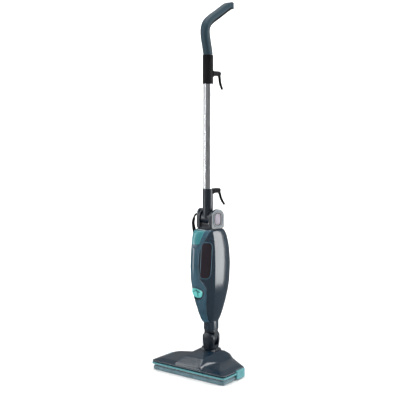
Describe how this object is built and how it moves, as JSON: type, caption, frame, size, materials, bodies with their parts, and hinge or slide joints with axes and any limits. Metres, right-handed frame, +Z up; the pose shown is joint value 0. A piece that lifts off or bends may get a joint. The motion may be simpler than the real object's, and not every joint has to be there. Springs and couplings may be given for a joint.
{
  "type": "steam mop",
  "caption": "Upright steam mop with a swivelling floor head, a slim water-tank body, a folding pole, cord hooks and a curved grip.",
  "frame": {"origin": "on the floor, under the joint between the floor head and the handle", "axes": "+Z up, -Y towards the front edge of the floor head, +X to the right of the front"},
  "size_m": [0.3385, 0.3767, 1.1707],
  "materials": {
    "navy_gloss": "gloss",
    "navy_satin": "satin",
    "strip_gloss": "gloss",
    "teal_pale": "satin",
    "teal_lid": "gloss",
    "mint": "satin",
    "mauve_grey": "satin",
    "black": "satin",
    "rubber": "matte",
    "aluminium": "satin",
    "steel": "satin",
    "brass": "satin",
    "microfibre": "matte",
    "smoke": "gloss",
    "white": "satin"
  },
  "bodies": {
    "housing": {"neck": "navy_satin", "neck_collar": "navy_gloss", "front_shell_right": "navy_gloss", "front_shell_left": "navy_gloss", "rear_shell": "navy_gloss", "front_strip": "strip_gloss", "rear_screw_upper": "steel", "rear_screw_lower": "steel", "tank_window_right": "smoke", "tank_window_left": "smoke", "boiler": "aluminium", "pump": "white", "water_hose": "white", "steam_hose": "rubber", "water_tank": "smoke", "knob_bezel": "navy_satin", "steam_valve": "brass", "lid_pin": "steel", "fold_saddle": "navy_satin", "fold_axle": "steel", "ear_cover_right": "navy_gloss", "button_spring_right": "steel", "ear_cover_left": "navy_gloss", "button_spring_left": "steel", "cord_boot": "rubber", "cord_drop": "rubber", "cord_hank": "rubber", "cord_tail": "rubber", "hank_tie": "black", "plug": "black", "plug_pin_right": "brass", "plug_pin_left": "brass"},
    "yoke": {"yoke_fork": "navy_satin", "roll_pin": "steel"},
    "head": {"mop_pad": "microfibre", "steam_plate": "aluminium", "base_band": "teal_pale", "head_cover": "navy_gloss", "pitch_axle": "steel"},
    "clip_right": {"pad_clip_right": "teal_pale"},
    "clip_left": {"pad_clip_left": "teal_pale"},
    "lid": {"filler_lid": "teal_lid", "filler_seal": "rubber"},
    "knob": {"steam_knob": "mint", "knob_spindle": "steel"},
    "button_right": {"fold_button_right": "mauve_grey"},
    "button_left": {"fold_button_left": "mauve_grey"},
    "pole": {"lower_sleeve": "navy_satin", "pole_tube": "aluminium", "upper_sleeve": "black", "grip_front": "navy_gloss", "grip_back": "rubber", "upper_hook_bracket": "black", "lower_hook_bracket": "black", "upper_hook_pin": "steel", "lower_hook_pin": "steel"},
    "hook_upper": {"upper_hook": "black"},
    "hook_lower": {"lower_hook": "black"}
  },
  "joints": [
    {"name": "head_roll", "type": "hinge", "parent": "housing", "child": "yoke", "pos_m": [0, 0, 0.097], "axis": [0, 1, 0], "range_deg": [-60, 60]},
    {"name": "head_pitch", "type": "hinge", "parent": "yoke", "child": "head", "pos_m": [0, 0, 0.052], "axis": [1, 0, 0], "range_deg": [0, 70]},
    {"name": "clip_right_open", "type": "hinge", "parent": "head", "child": "clip_right", "pos_m": [0.139, -0.0405, 0.026], "axis": [0, -1, 0], "range_deg": [0, 25]},
    {"name": "clip_left_open", "type": "hinge", "parent": "head", "child": "clip_left", "pos_m": [-0.139, -0.0405, 0.026], "axis": [0, 1, 0], "range_deg": [0, 25]},
    {"name": "pole_fold", "type": "hinge", "parent": "housing", "child": "pole", "pos_m": [0, -0.019, 0.489], "axis": [1, 0, 0], "range_deg": [0, 90]},
    {"name": "filler_lid_open", "type": "hinge", "parent": "housing", "child": "lid", "pos_m": [0, -0.0522, 0.4552], "axis": [-1, 0, 0], "range_deg": [0, 42]},
    {"name": "steam_knob_turn", "type": "hinge", "parent": "housing", "child": "knob", "pos_m": [0, -0.063, 0.264], "axis": [0, -0.9397, -0.342], "range_deg": [0, 270]},
    {"name": "upper_hook_swivel", "type": "hinge", "parent": "pole", "child": "hook_upper", "pos_m": [0, 0.039, 0.9425], "axis": [0, 1, 0], "range_deg": [0, 180]},
    {"name": "lower_hook_swivel", "type": "hinge", "parent": "pole", "child": "hook_lower", "pos_m": [0, 0.039, 0.574], "axis": [0, 1, 0], "range_deg": [0, 180]},
    {"name": "fold_button_right_press", "type": "slide", "parent": "housing", "child": "button_right", "axis": [-1, 0, 0], "range_m": [0, 0.004], "stiffness_N_per_m": 500, "springref_m": -0.002},
    {"name": "fold_button_left_press", "type": "slide", "parent": "housing", "child": "button_left", "axis": [1, 0, 0], "range_m": [0, 0.004], "stiffness_N_per_m": 500, "springref_m": -0.002}
  ]
}
